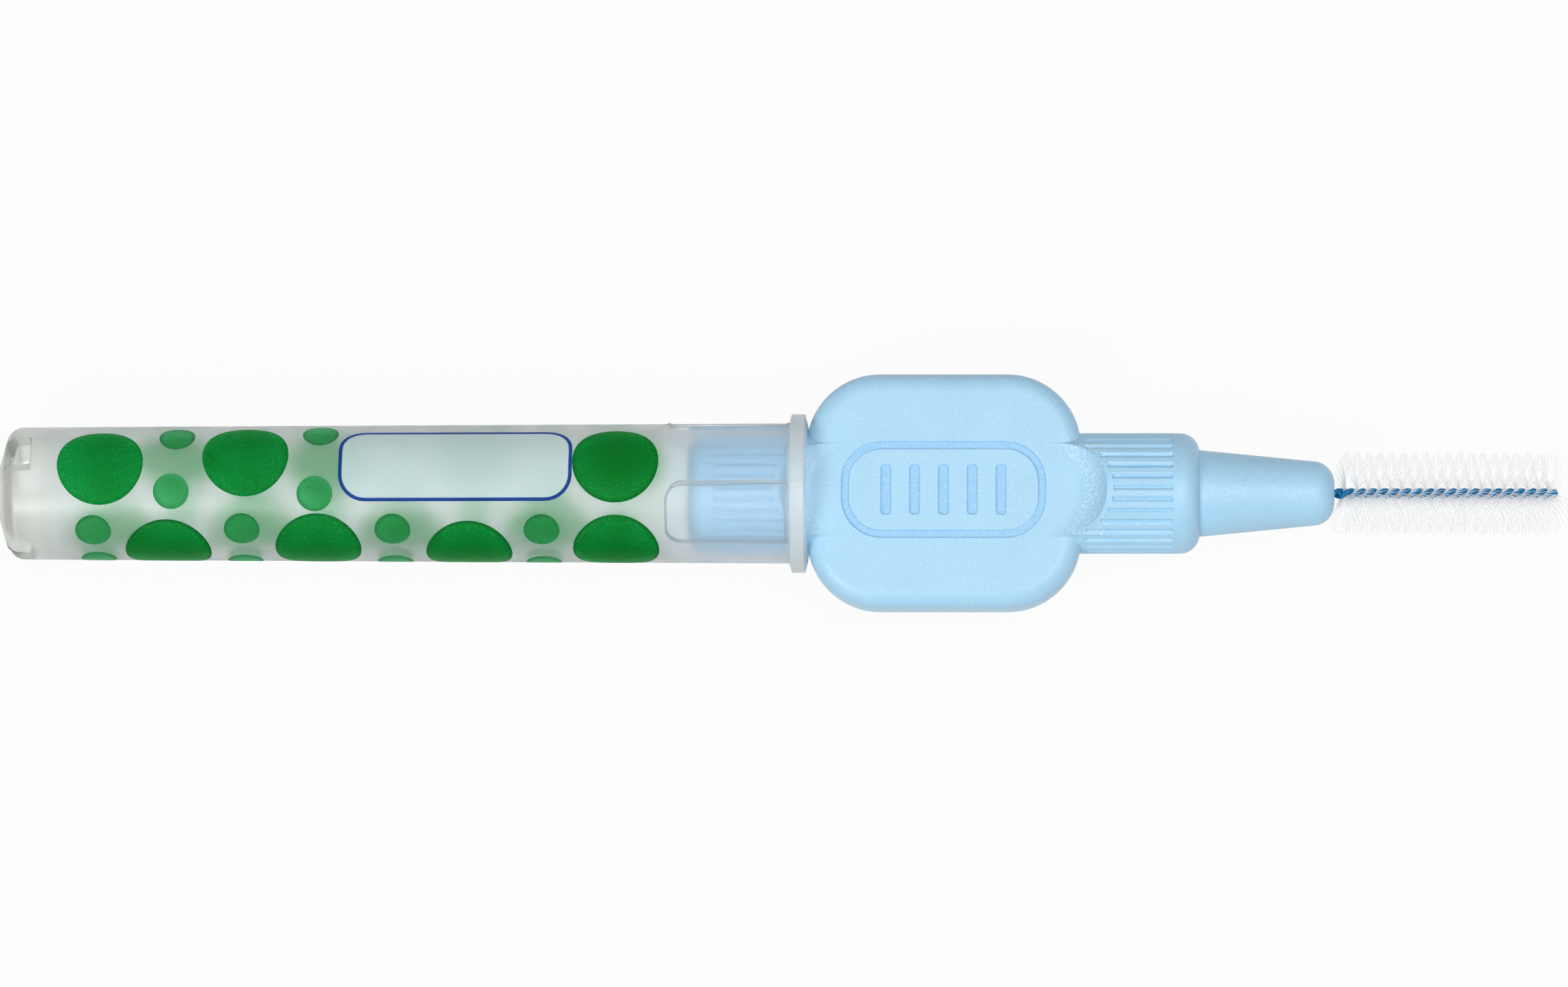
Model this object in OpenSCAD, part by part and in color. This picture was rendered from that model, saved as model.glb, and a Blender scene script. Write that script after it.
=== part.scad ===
// Interdental brush with a flat thumb grip, two ribbed barrels and a vented travel cap.
// The brush points along +X, the grip's flat faces look up and down, lengths are in millimetres.

/* [Grip] */
// Length of the flat grip along the brush
grip_l = 15.3; // [14:0.05:18]
// Width of the flat grip across the brush
grip_w = 13.1; // [12:0.02:16]
// Thickness of the flat grip
grip_t = 4.2; // [3.6:0.1:5]
// Radius of the grip's corners in plan
grip_corner_r = 4.1; // [3:0.1:5]
// Rounding along the grip's edges
grip_edge_r = 1; // [0.5:0.1:1.4]
// Length of the sunk outline on the grip's faces
outline_l = 11.4; // [8:0.1:12]
// Width of the sunk outline on the grip's faces
outline_w = 5.4; // [4:0.1:7]
// Width of the groove that draws the outline
outline_groove_w = 0.45; // [0.3:0.05:0.6]
// Depth of the outline and of the bars inside it
relief_depth = 0.15; // [0.08:0.01:0.3]
// Number of sunk bars inside the outline
bar_count = 5; // [3:1:7]
// Width of a sunk bar
bar_w = 0.6; // [0.4:0.05:0.9]
// Length of a sunk bar
bar_l = 2.8; // [2:0.1:3.4]
// Distance from one bar to the next
bar_step = 1.6; // [1.2:0.1:1.8]

/* [Barrels] */
// Diameter of both barrels over their ribs
barrel_d = 6.72; // [6:0.02:8]
// Length over both barrels, end face to end face
barrels_l = 28.5; // [26:0.1:34]
// Rounding of a barrel's end edge
barrel_end_r = 1.1; // [0.6:0.05:1.3]
// Radius of the hollow that rises from a grip face to a barrel
hollow_r = 1.8; // [1.4:0.05:2.4]
// How far the hollow runs past the grip's end
hollow_reach = 1.45; // [1:0.05:2]
// Radius of the arc that the hollow follows when seen from above, at the barrel's crest
hollow_plan_r = 4.5; // [4:0.1:6]
// Smooth rim between the hollow and the grooves
rim_w = 0.35; // [0.1:0.05:0.5]
// Number of grooves round a barrel, with a rib between each two
groove_count = 32; // [20:1:36]
// Width of a groove's flat bottom
groove_w = 0.05; // [0.03:0.01:0.1]
// Depth of a groove
groove_depth = 0.15; // [0.08:0.01:0.18]
// Radius of the round flanks that rise from a groove to its ribs
flank_r = 0.35; // [0.3:0.01:0.45]
// How far the flanks' circles would stand out of the barrel
flank_rise = 0.02; // [0.01:0.01:0.04]
// Length of the smooth collar at a barrel's end, rounding included
collar_l = 1.5; // [1.4:0.05:2.5]

/* [Neck] */
// Length of the neck in front of the barrel
neck_l = 7.5; // [5:0.1:10]
// Diameter of the neck where it leaves the barrel
neck_base_d = 4.84; // [4:0.02:5.4]
// Diameter of the neck where the rounding of its nose begins
neck_nose_d = 3.6; // [3:0.02:4.4]
// Rounding of the nose
nose_r = 1.2; // [0.6:0.05:1.4]

/* [Twisted wire] */
// Diameter of the steel wire
wire_d = 0.17; // [0.12:0.01:0.2]
// Diameter of the wire with its plastic coating
coated_d = 0.25; // [0.22:0.01:0.3]
// Clear gap between the two legs, where the bristles are clamped
leg_gap = 0.1; // [0.1:0.01:0.14]
// Length of one full turn of the twist
twist_pitch = 1.265; // [1.1:0.005:1.6]
// Length of wire in front of the nose
wire_reach = 12.43; // [9:0.01:16]
// Length of wire held inside the handle
wire_hold = 7; // [4:0.1:12]

/* [Bristles] */
// Diameter of the brush over its bristle tips
brush_d = 4.68; // [3:0.02:7]
// Bare wire between the nose and the first bristles
bare_l = 0.63; // [0.4:0.01:2]
// Number of filaments, each one clamped at its middle
filament_count = 200; // [150:1:250]
// Thickness of a filament
filament_t = 0.07; // [0.05:0.01:0.07]
// Lean of the bristles, forwards above the wire and backwards below it, as an angle
comb_lean = 16; // [0:1:20]
// Forward lean that the last bristles above the wire grow to, as an angle
tip_lean = 28; // [20:1:35]
// Backward lean that the first bristles below the wire grow to, as an angle
heel_lean = 26; // [20:1:30]
// How far the last bristles have turned on ahead of the wire, as an angle
tip_fan = 40; // [0:1:45]

/* [Cap] */
// Length of the cap
cap_l = 45.2; // [38:0.1:54]
// Wall of the tube
cap_wall = 0.5; // [0.45:0.05:0.7]
// How much narrower the tube is at its closed end than at its mouth
cap_taper = 0.42; // [0.2:0.02:0.8]
// Wall of the closed end and of the pocket inside it
end_wall = 0.62; // [0.55:0.01:0.8]
// Length of the end pocket, where the bore is a little narrower
pocket_l = 2.65; // [2.5:0.05:4]
// Radius of the closed end's shoulder
shoulder_r = 0.9; // [0.85:0.05:1.2]
// Slope of the closed end between its shoulder and its flat centre
dome_slope = 17; // [8:1:25]
// Diameter of the flat centre of the closed end
dome_flat_d = 3.26; // [2:0.02:4]
// How far the flange round the mouth stands out of the tube
flange_h = 0.52; // [0.3:0.02:1]
// Length of the flange's rim
flange_l = 0.74; // [0.5:0.02:1.5]
// Length of the bevel on each side of the flange
flange_bevel_l = 0.15; // [0.1:0.01:0.4]
// Width of the lip's flat edge
lip_edge = 0.06; // [0.04:0.01:0.1]
// Length of the lead-in inside the lip
lead_in_l = 0.3; // [0.2:0.05:0.6]
// Width of the lead-in inside the lip
lead_in_w = 0.33; // [0.2:0.01:0.4]
// Number of windows, and of thin panels, round the cap
window_count = 3; // [2:1:4]
// Width of a window round the cap
window_w = 2; // [1.4:0.05:2.4]
// Distance from the closed end to a window
window_from = 0.68; // [0.68:0.02:1]
// Distance from the closed end to the far side of a window
window_to = 1.96; // [1.6:0.02:2.4]
// Corner radius of a window
window_corner_r = 0.15; // [0.1:0.05:0.4]
// How far a window's end side leans towards the closed end
window_lean = 0.4; // [0:0.05:0.6]
// Width of a thin panel sunk into the bore at the mouth
panel_w = 3.4; // [2.4:0.05:3.8]
// Length of a thin panel, measured from the lip
panel_l = 7.8; // [6:0.1:12]
// Corner radius of a thin panel
panel_corner_r = 0.9; // [0.4:0.05:1.2]
// Depth of a thin panel
panel_depth = 0.28; // [0.15:0.01:0.32]
// Turn of the cap on the plug, from straight up
cap_turn = 24; // [-180:1:180]

/* [Fits] */
// Radial clearance between the plug's ribs and the cap's bore
cap_fit = 0.05; // [0.01:0.01:0.1]
// Clearance between the cap's lip and the grip
lip_gap = 0.04; // [0.02:0.01:0.2]
// Clearance from the plug's end to the cap's tapered bore
plug_end_gap = 0.3; // [0.1:0.05:1]
// Radial clearance round the wire in the handle
hold_fit = 0.02; // [0.01:0.01:0.05]
// Radial clearance between the steel and its coating
coating_fit = 0.005; // [0.003:0.001:0.01]

/* [Hidden] */
$fn = 96;
// Every cut runs this far past what it cuts
over = 0.5;

barrel_r = barrel_d / 2;
barrel_x = barrels_l / 2;
grip_face_z = grip_t / 2;
corner_x = grip_l / 2 - grip_corner_r;
corner_y = grip_w / 2 - grip_corner_r;
// The grip's outline meets the barrel's side here
shoulder_x = corner_x + sqrt(pow(grip_corner_r, 2) - pow(max(0, barrel_r - corner_y), 2));
// The hollow turns about an upright line here, and meets the grip's face this far from it
hollow_centre_x = grip_l / 2 + hollow_reach - hollow_plan_r;
hollow_foot_r = hollow_plan_r - hollow_run(barrel_r);
groove_end_x = barrel_x - collar_l;
// Circle of a groove's flank: its distance from the groove's middle, and its depth below the crests
flank_z = flank_r - flank_rise;
flank_y = groove_w / 2 + sqrt(pow(flank_r, 2) - pow(flank_z - groove_depth, 2));

// The nose rounding touches the neck's taper and the flat front
neck_slope = atan((neck_base_d - neck_nose_d) / 2 / (neck_l - nose_r));
nose_x = barrel_x + neck_l;
nose_centre = [nose_x - nose_r, neck_nose_d / 2 - nose_r / cos(neck_slope)];

// The two legs of the wire wind round each other as a left-handed pair and meet in a bend
leg_r = (leg_gap + coated_d) / 2;
twist_r = leg_r + coated_d / 2;
wire_end_x = nose_x - wire_hold;
// The wire's cut ends lean with the twist, so the bore is that much deeper
bore_l = wire_hold + coated_d / 2 + hold_fit;
bend_x = nose_x + wire_reach - twist_r;
// How far a leg moves round for each step forwards
leg_slope = -2 * PI * leg_r / twist_pitch;
wire_sides = 6;
rings_per_turn = 8;
bend_rings = 6;
leg_rings = ceil((bend_x - wire_end_x) / twist_pitch * rings_per_turn);

// The clamped middles of the filaments lie side by side as one thin twisted sheet
sheet_r = twist_r + filament_t / 2;
sheet_x = nose_x + bare_l;
sheet_step = (bend_x - sheet_x) / filament_count;
bristle_l = brush_d / 2 - sheet_r;
// Shares of the filaments that lean more at either end, and of a bristle that trimming takes off
leaning_share = 0.08;
trim_share = 0.03;
// Bristles between the ends lean by up to this angle besides, each one differently
spread_angle = 3;
golden_angle = 137.5;
brush_tip_x = max([for (i = [0 : filament_count - 1], s = [0, 1])
    sheet_x + (i + 1) * sheet_step + bristle_way(i, s).x]);

// The cap is drawn from its closed end, with its lip against the grip's shoulders
arc_steps = 8;
lip_x = -shoulder_x - lip_gap;
cap_end_x = lip_x - cap_l;
seat_r = barrel_r + cap_fit;
cap_mouth_d = 2 * (seat_r + cap_wall);
cap_end_d = cap_mouth_d - cap_taper;
flange_d = cap_mouth_d + 2 * flange_h;
lip_d = 2 * (seat_r + lead_in_w + lip_edge);
seat_l = barrel_x + lip_x + plug_end_gap;
tube_l = cap_l - flange_l - 2 * flange_bevel_l;
shoulder_y = cap_end_d / 2 - shoulder_r;
shoulder_u = shoulder_r * cos(dome_slope)
    + (shoulder_y + shoulder_r * sin(dome_slope) - dome_flat_d / 2) * tan(dome_slope);

// The middle of the whole length is the part's origin
middle_x = (cap_end_x + brush_tip_x) / 2;

function hollow_run(height) = let(rise = min(hollow_r, max(0, height - grip_face_z)))
    sqrt(pow(hollow_r, 2) - pow(hollow_r - rise, 2));
// Where the hollow ends on the barrel at this turn from its crest
function hollow_end_x(turn) = let(out = hollow_foot_r + hollow_run(abs(barrel_r * cos(turn))))
    hollow_centre_x + sqrt(max(0, pow(out, 2) - pow(barrel_r * sin(turn), 2)));
function tube_r(u) = (cap_end_d + (cap_mouth_d - cap_end_d) * (u - shoulder_u) / (tube_l - shoulder_u)) / 2;

// Turns a profile drawn along X, with its radius along Y, about the brush's axis
module revolve() {
    rotate([0, 90, 0]) rotate_extrude() mirror([1, -1]) children();
}

// Rounded rectangle made of straight runs and true arcs
module rounded_plate(l, w, r) {
    square([l - 2 * r, w], center = true);
    square([l, w - 2 * r], center = true);
    for (sx = [-1, 1], sy = [-1, 1]) translate([sx * (l / 2 - r), sy * (w / 2 - r)]) circle(r = r);
}

// The grip's rim in section, from a corner's centre outwards
module rim_section() {
    translate([0, -grip_t / 2]) square([grip_corner_r - grip_edge_r, grip_t]);
    translate([0, grip_edge_r - grip_t / 2]) square([grip_corner_r, grip_t - 2 * grip_edge_r]);
    for (s = [-1, 1]) translate([grip_corner_r - grip_edge_r, s * (grip_t / 2 - grip_edge_r)])
        circle(r = grip_edge_r);
}

module grip_slab() {
    rotate([90, 0, 90]) linear_extrude(2 * corner_x, center = true)
        rounded_plate(grip_w, grip_t, grip_edge_r);
    for (mx = [0, 1]) mirror([mx, 0, 0]) {
        translate([corner_x, 0, 0]) rotate([90, 0, 0]) linear_extrude(2 * corner_y, center = true)
            rim_section();
        for (my = [0, 1]) mirror([0, my, 0]) translate([corner_x, corner_y, 0])
            rotate_extrude(angle = 90) rim_section();
    }
}

module barrel_profile() {
    translate([barrel_end_r - barrel_x, 0]) square([2 * (barrel_x - barrel_end_r), barrel_r]);
    translate([-barrel_x, 0]) square([2 * barrel_x, barrel_r - barrel_end_r]);
    for (s = [-1, 1]) translate([s * (barrel_x - barrel_end_r), barrel_r - barrel_end_r])
        circle(r = barrel_end_r);
}

// What clears a grip face between the two barrels, with a round hollow rising to each
module hollow_cut() {
    translate([-hollow_centre_x, -barrel_d, grip_face_z])
        cube([2 * hollow_centre_x, 2 * barrel_d, hollow_r + barrel_r]);
    for (s = [-1, 1]) translate([s * hollow_centre_x, 0, grip_face_z]) rotate_extrude() {
        square([hollow_foot_r, hollow_r + barrel_r]);
        translate([hollow_foot_r, hollow_r]) circle(r = hollow_r);
        translate([0, hollow_r]) square([hollow_foot_r + hollow_r, barrel_r]);
    }
}

// Section of one groove, with its middle at the barrel's surface and round flanks
module groove_section() {
    difference() {
        translate([-flank_y, -groove_depth]) square([2 * flank_y, groove_depth + over]);
        for (s = [-1, 1]) translate([s * flank_y, -flank_z]) circle(r = flank_r);
    }
}

// Grooves of one barrel: each starts a rim's width from the hollow or the grip
module barrel_grooves() {
    for (i = [0 : groove_count - 1]) {
        turn = 360 * i / groove_count;
        start_x = max(shoulder_x, hollow_end_x(turn)) + rim_w;
        rotate([turn, 0, 0]) translate([start_x, 0, barrel_r]) rotate([90, 0, 90])
            linear_extrude(groove_end_x - start_x) groove_section();
    }
}

module neck_profile() {
    touch = nose_centre + nose_r * [sin(neck_slope), cos(neck_slope)];
    root_x = barrel_x - barrel_end_r;
    polygon([[root_x, 0], [root_x, neck_base_d / 2 + barrel_end_r * tan(neck_slope)], touch, nose_centre,
        [nose_x, nose_centre.y], [nose_x, 0]]);
    intersection() {
        translate(nose_centre) circle(r = nose_r);
        square([nose_x, neck_base_d]);
    }
}

// Plain outline with a row of bars, sunk into a grip face for the thumb
module grip_relief() {
    translate([0, 0, grip_face_z - relief_depth]) linear_extrude(relief_depth + over) {
        difference() {
            rounded_plate(outline_l, outline_w, outline_w / 2 - outline_groove_w);
            rounded_plate(outline_l - 2 * outline_groove_w, outline_w - 2 * outline_groove_w,
                outline_w / 2 - 2 * outline_groove_w);
        }
        for (i = [0 : bar_count - 1]) translate([(i - (bar_count - 1) / 2) * bar_step, 0])
            rounded_plate(bar_w, bar_l, bar_w / 3);
    }
}

module handle() {
    color("lightskyblue") translate([-middle_x, 0, 0]) difference() {
        union() {
            grip_slab();
            difference() {
                revolve() barrel_profile();
                for (mz = [0, 1]) mirror([0, 0, mz]) hollow_cut();
            }
            revolve() neck_profile();
        }
        for (mx = [0, 1]) mirror([mx, 0, 0]) barrel_grooves();
        for (mz = [0, 1]) mirror([0, 0, mz]) grip_relief();
        translate([nose_x - bore_l, 0, 0]) rotate([0, 90, 0])
            cylinder(r = twist_r + hold_fit, h = bore_l + over);
    }
}

// Angle of the first leg at a place along the brush, falling with x for a left-handed twist:
// it is on top where the bristles begin
function leg_turn(x) = 90 - 360 * (x - sheet_x) / twist_pitch;
function across(turn) = [0, cos(turn), sin(turn)];

// A station of the wire: its centre, the way out from the axis, and the way across both
function leg_station(x, way) = let(
        out = way * across(leg_turn(x)),
        along = way * [1, 0, 0] + leg_slope * across(leg_turn(x) + 90)
    ) [[x, 0, 0] + leg_r * out, out, cross(along / norm(along), out)];
// The bend is a half circle in which the twist goes on, so each leg runs into it smoothly
function bend_station(t) = let(
        turn = leg_turn(bend_x + leg_r * sin(t)),
        out = cos(t) * across(turn) + [sin(t), 0, 0],
        along = [cos(t), 0, 0] - sin(t) * across(turn) + pow(cos(t), 2) * leg_slope * across(turn + 90)
    ) [[bend_x, 0, 0] + leg_r * out, out, cross(along / norm(along), out)];
leg_xs = [for (i = [0 : leg_rings]) wire_end_x + (bend_x - wire_end_x) * i / leg_rings];
wire_path = concat(
    [for (x = leg_xs) leg_station(x, 1)],
    [for (j = [1 : bend_rings - 1]) bend_station(180 * j / bend_rings)],
    [for (i = [leg_rings : -1 : 0]) leg_station(leg_xs[i], -1)]
);

function rings(r) = [for (s = wire_path, k = [0 : wire_sides - 1])
    s[0] + r * (cos(360 * k / wire_sides) * s[1] + sin(360 * k / wire_sides) * s[2])];
function flipped(faces) = [for (f = faces) [f[2], f[1], f[0]]];
// Triangles of a skin over consecutive rings, the first of them at the point numbered from
function skin(count, sides, from) = [for (i = [0 : count - 2], k = [0 : sides - 1]) let(
        a = from + i * sides + k,
        d = from + i * sides + (k + 1) % sides
    ) each [[a, a + sides, d + sides], [a, d + sides, d]]];

module core_wire() {
    last = (len(wire_path) - 1) * wire_sides;
    ends = [for (k = [1 : wire_sides - 2]) each [[0, k, k + 1], [last, last + k + 1, last + k]]];
    color("silver") translate([-middle_x, 0, 0])
        polyhedron(rings(wire_d / 2), concat(skin(len(wire_path), wire_sides, 0), ends));
}

module wire_coating() {
    inner = len(wire_path) * wire_sides;
    last = inner - wire_sides;
    rims = [for (k = [0 : wire_sides - 1]) let(n = (k + 1) % wire_sides) each [
        [k, n, inner + n], [k, inner + n, inner + k],
        [last + n, last + k, last + inner + k], [last + n, last + inner + k, last + inner + n]]];
    color("steelblue") translate([-middle_x, 0, 0])
        polyhedron(concat(rings(coated_d / 2), rings(wire_d / 2 + coating_fit)),
            concat(skin(len(wire_path), wire_sides, 0),
                flipped(skin(len(wire_path), wire_sides, inner)), rims));
}

function sheet_turn(i, s) = leg_turn(sheet_x + i * sheet_step) + 90 + 180 * s;
// How near a bristle is to the brush's heel or tip, from 0 to 1
function heel_part(i) = max(0, 1 - i / (leaning_share * filament_count));
function tip_part(i) = max(0, 1 - (filament_count - 1 - i) / (leaning_share * filament_count));
function bristle_turn(i, s) = sheet_turn(i + 0.5, s) - tip_fan * pow(tip_part(i), 2);
// Lean of one bristle, by the side that it is on and how near it is to the heel or the tip
function lean(i, s) = let(
        heel = heel_part(i),
        tip = tip_part(i),
        above = sin(bristle_turn(i, s)),
        spread = spread_angle * sin((2 * i + s) * golden_angle)
    ) comb_lean * above + spread * (1 - heel - tip)
        + (tip_lean - comb_lean) * tip * max(0, above) - (heel_lean - comb_lean) * heel * max(0, -above);
function trimmed(i) = bristle_l * (1 - trim_share * pow(sin((filament_count - 1 - i) * golden_angle), 2));
function bristle_way(i, s) = trimmed(i) * (across(bristle_turn(i, s)) + [tan(lean(i, s)), 0, 0]);
// A place on the sheet: this far out on side s, on the face that lies towards t
function sheet_place(i, s, t, out) = [sheet_x + i * sheet_step, 0, 0]
    + out * across(sheet_turn(i, s)) + t * filament_t / 2 * across(sheet_turn(i, s) + 90);
// A station has six points: two corners on each side, then one on the axis for each face
function corner_point(i, s, t) = 6 * i + 2 * s + t;
function middle_point(i, s) = 6 * i + 4 + s;

// Each filament's two bristles grow from the sheet's edges as three-sided prisms.
// A bristle's root is one half of its stretch of edge, so no bristle touches the next one.
module filaments() {
    first_tip = 6 * (filament_count + 1);
    sheet = [for (i = [0 : filament_count]) each concat(
        [for (s = [0, 1], t = [-1, 1]) sheet_place(i, s, t, sheet_r)],
        [for (s = [0, 1]) sheet_place(i, s, 1, 0)])];
    tips = [for (i = [0 : filament_count - 1], s = [0, 1]) let(
            root = [corner_point(i, s, 0), corner_point(i + 1, s, 1), corner_point(i, s, 1)]
        ) each [for (p = root) sheet[p] + bristle_way(i, s)]];
    bristles = [for (i = [0 : filament_count - 1], s = [0, 1]) let(
            a = corner_point(i, s, 0), b = corner_point(i + 1, s, 1), c = corner_point(i, s, 1),
            n = first_tip + 3 * (2 * i + s)
        ) each [[a, b, n + 1], [a, n + 1, n], [b, c, n + 2], [b, n + 2, n + 1],
            [c, a, n], [c, n, n + 2], [n, n + 1, n + 2], [a, corner_point(i + 1, s, 0), b]]];
    flanks = [for (i = [0 : filament_count - 1], s = [0, 1]) let(
            a = corner_point(i, s, 1), m = middle_point(i, s), b = corner_point(i, 1 - s, 0)
        ) each [[a, a + 6, m], [m, a + 6, m + 6], [m, m + 6, b + 6], [m, b + 6, b]]];
    end = 6 * filament_count;
    heel_end = [[0, 1, 4], [0, 4, 5], [5, 4, 2], [5, 2, 3]];
    ends = concat(heel_end, [for (f = heel_end) end * [1, 1, 1] + [f[2], f[1], f[0]]]);
    color("white") translate([-middle_x, 0, 0])
        polyhedron(concat(sheet, tips), concat(bristles, flanks, ends));
}

// Points of an arc from one angle to another
function arc(centre, r, from, to) = [for (i = [0 : arc_steps])
    centre + r * [cos(from + (to - from) * i / arc_steps), sin(from + (to - from) * i / arc_steps)]];
// The closed end in section, moved in by inset, from the axis over its rounded shoulder to the tube
function dome_points(inset) = let(
        shoulder = arc([shoulder_u, shoulder_y], shoulder_r - inset, 180 - dome_slope, 90),
        touch = shoulder[0]
    ) concat([[inset, 0], [inset, touch.y - (touch.x - inset) / tan(dome_slope)]], shoulder);

module cap_outside() {
    rim_u = tube_l + flange_bevel_l;
    polygon(concat(dome_points(0), [[tube_l, cap_mouth_d / 2], [rim_u, flange_d / 2],
        [rim_u + flange_l, flange_d / 2], [cap_l, lip_d / 2], [cap_l, 0]]));
}

module cap_inside() {
    seat_u = cap_l - seat_l;
    pocket_r = cap_end_d / 2 - end_wall;
    lip_r = lip_d / 2 - lip_edge;
    polygon(concat(dome_points(end_wall), [[pocket_l, pocket_r],
        [pocket_l, tube_r(pocket_l) - cap_wall], [seat_u, tube_r(seat_u) - cap_wall], [seat_u, seat_r],
        [cap_l - lead_in_l, seat_r], [cap_l, lip_r], [cap_l + over, lip_r], [cap_l + over, 0]]));
}

// One window: rounded corners seen from outside, its end side leaning in section
module window_cut() {
    span = window_to - window_from + window_lean;
    depth = cap_end_d;
    intersection() {
        translate([window_to - span / 2, 0, 0]) linear_extrude(depth)
            rounded_plate(span, window_w, window_corner_r);
        rotate([90, 0, 0]) linear_extrude(window_w + 2 * over, center = true)
            polygon([[window_from, shoulder_y - shoulder_r], [window_to + over, shoulder_y - shoulder_r],
                [window_to + over, cap_end_d / 2 + over],
                [window_from - window_lean, cap_end_d / 2 + over]]);
    }
}

// One thin panel, sunk into the bore and open at the mouth
module panel_cut() {
    length = panel_l + over + panel_corner_r;
    intersection() {
        translate([cap_l - panel_l, 0, 0]) rotate([0, 90, 0])
            cylinder(r = seat_r + panel_depth, h = panel_l + over);
        translate([cap_l - panel_l + length / 2, 0, 0]) linear_extrude(cap_mouth_d)
            rounded_plate(length, panel_w, panel_corner_r);
    }
}

module cap() {
    color("gainsboro", 0.6) translate([cap_end_x - middle_x, 0, 0]) rotate([cap_turn, 0, 0]) difference() {
        revolve() cap_outside();
        revolve() cap_inside();
        for (i = [0 : window_count - 1]) rotate([360 * i / window_count, 0, 0]) {
            panel_cut();
            rotate([180 / window_count, 0, 0]) window_cut();
        }
    }
}

handle();
core_wire();
wire_coating();
filaments();
cap();
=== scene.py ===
"""Dresses an interdental brush: satin handle, printed milky cap, coated twisted wire and fine bristles.

All lengths are in metres. The brush points along +X and its flat grip looks up.
"""

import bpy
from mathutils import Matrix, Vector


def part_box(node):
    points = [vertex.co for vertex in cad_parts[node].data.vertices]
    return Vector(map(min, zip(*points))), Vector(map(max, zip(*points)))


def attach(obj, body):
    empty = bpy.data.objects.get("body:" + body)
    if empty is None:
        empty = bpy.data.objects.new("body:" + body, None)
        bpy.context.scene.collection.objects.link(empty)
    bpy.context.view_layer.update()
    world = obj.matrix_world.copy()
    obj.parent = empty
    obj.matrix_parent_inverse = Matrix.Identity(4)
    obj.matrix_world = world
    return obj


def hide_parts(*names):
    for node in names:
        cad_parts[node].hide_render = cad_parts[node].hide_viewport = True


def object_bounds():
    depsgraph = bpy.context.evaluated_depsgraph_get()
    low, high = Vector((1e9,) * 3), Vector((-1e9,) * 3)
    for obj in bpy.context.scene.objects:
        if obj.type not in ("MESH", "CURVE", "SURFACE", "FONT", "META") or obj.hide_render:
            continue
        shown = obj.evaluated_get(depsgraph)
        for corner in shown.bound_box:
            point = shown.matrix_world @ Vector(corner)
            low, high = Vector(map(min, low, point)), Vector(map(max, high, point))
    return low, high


bl_info = {
    "name": "Interdental Brush",
    "version": (1, 0, 0),
    "blender": (4, 5, 0),
    "location": "View3D > Sidebar > Brush",
    "description": "Finishes the handle and cap, and makes the wire, the bristles and the print",
    "category": "Add Mesh",
}

import random
from math import ceil, cos, pi, radians, sin, tan

import bmesh
import bpy
from bpy.props import FloatProperty, FloatVectorProperty, IntProperty, PointerProperty
from bpy.types import Operator, Panel, PropertyGroup
from mathutils import Matrix, Vector
from mathutils.bvhtree import BVHTree

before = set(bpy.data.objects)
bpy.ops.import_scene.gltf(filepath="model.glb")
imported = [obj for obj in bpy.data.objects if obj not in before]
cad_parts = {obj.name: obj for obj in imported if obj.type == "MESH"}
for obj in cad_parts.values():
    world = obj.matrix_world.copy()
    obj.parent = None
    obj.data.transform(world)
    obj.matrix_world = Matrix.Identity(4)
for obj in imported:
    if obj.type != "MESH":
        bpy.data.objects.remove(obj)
cad_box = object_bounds()
mm = 0.001
AXIS = Vector((1, 0, 0))
WHITE = (1.0, 1.0, 1.0, 1.0)


def node_box(name):
    """Lowest and highest corners of a CAD node at rest."""
    low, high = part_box(name)
    return Vector(low), Vector(high)


handle_low, handle_high = node_box("handle")
wire_low, wire_high = node_box("wire_coating")
cap_low, cap_high = node_box("cap")
nose_x = handle_high.x


def length(name, about, default):
    """A length that a user may change."""
    return FloatProperty(name=name, description=about, default=default, min=0, unit="LENGTH",
                         precision=5)


def share(name, about, default):
    """A number from 0 to 1 that a user may change."""
    return FloatProperty(name=name, description=about, default=default, min=0, max=1,
                         subtype="FACTOR")


def colour(name, about, default):
    """A colour, written as linear light, that a user may change."""
    return FloatVectorProperty(name=name, description=about, default=default, size=3, min=0, max=1,
                               subtype="COLOR")


def angle(name, about, default):
    """An angle that a user may change, with its default in degrees."""
    return FloatProperty(name=name, description=about, default=radians(default), unit="ROTATION")


def number(name, about, default, low, high):
    """A whole number that a user may change."""
    return IntProperty(name=name, description=about, default=default, min=low, max=high)


class HandleLook(PropertyGroup):
    tint: colour("Tint", "Colour of the handle's plastic", (0.40, 0.70, 0.93))
    grain: length("Grain", "Size of the fine grain all over the handle", 0.11 * mm)
    stipple: length("Stipple", "Size of the coarser grain in the hollows", 0.17 * mm)
    middle: length("Middle", "Distance from the handle's rear end to the grip's middle", 14.25 * mm)
    hollow_from: length("Hollow from", "Where a hollow begins, from the grip's middle", 6.9 * mm)
    hollow_to: length("Hollow to", "Where a hollow ends, from the grip's middle", 9.15 * mm)
    face_z: length("Face height", "Height of the grip's flat face over its middle", 2.1 * mm)
    outline_l: length("Outline length", "Length of the outline sunk in the grip's face", 11.4 * mm)
    outline_w: length("Outline width", "Width of the outline sunk in the grip's face", 5.4 * mm)


class WireLook(PropertyGroup):
    coat: colour("Coat", "Colour of the wire's plastic coating", (0.002, 0.19, 0.43))
    steel: colour("Steel", "Colour of the bare steel", (0.62, 0.63, 0.65))
    coated_d: length("Coated diameter", "Diameter of one leg with its coating", 0.29 * mm)
    leg_gap: length("Leg gap", "Gap between the two legs, which press on the bristles", 0.02 * mm)
    pitch: length("Pitch", "Length of one full turn of the twist", 1.265 * mm)
    on_top: length("Leg on top", "Where the first leg lies on top, in front of the nose", 0.63 * mm)


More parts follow.
